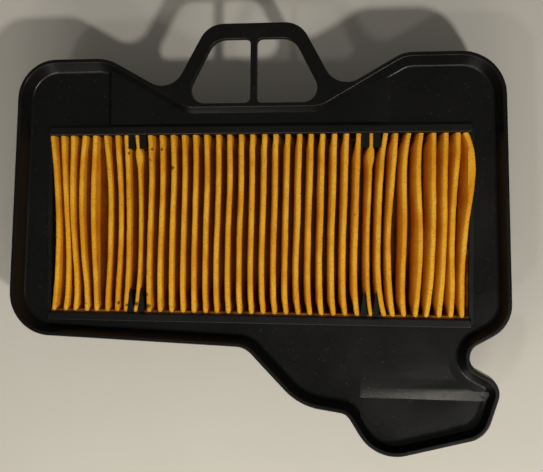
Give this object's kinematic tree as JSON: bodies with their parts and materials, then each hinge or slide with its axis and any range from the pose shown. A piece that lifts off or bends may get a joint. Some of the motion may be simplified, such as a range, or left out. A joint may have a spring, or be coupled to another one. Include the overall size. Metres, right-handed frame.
{
  "type": "panel air filter element",
  "caption": "Pleated paper panel filter in a black moulded tray with a raised rim, a locating lobe and a looped pull handle.",
  "frame": {"origin": "middle of the outline of tray and handle, on the plane that the housing stands on", "axes": "+X along the row of pleats, +Y towards the pull handle, +Z out of the open face of the tray"},
  "size_m": [0.1848, 0.1558, 0.0305],
  "materials": {
    "tray_plastic": "satin black moulded polypropylene",
    "housing_plastic": "satin black moulded polypropylene",
    "filter_paper": "matt resin-impregnated filter paper",
    "bonding_glue": "glossy set glue, amber",
    "gasket_foam": "matt closed-cell foam"
  },
  "bodies": {
    "root": {"carrier_frame": "tray_plastic", "element_housing": "housing_plastic", "pleated_element": "filter_paper", "upper_edge_bond": "bonding_glue", "lower_edge_bond": "bonding_glue", "left_end_bond": "bonding_glue", "right_end_bond": "bonding_glue", "rim_gasket": "gasket_foam"}
  },
  "joints": []
}
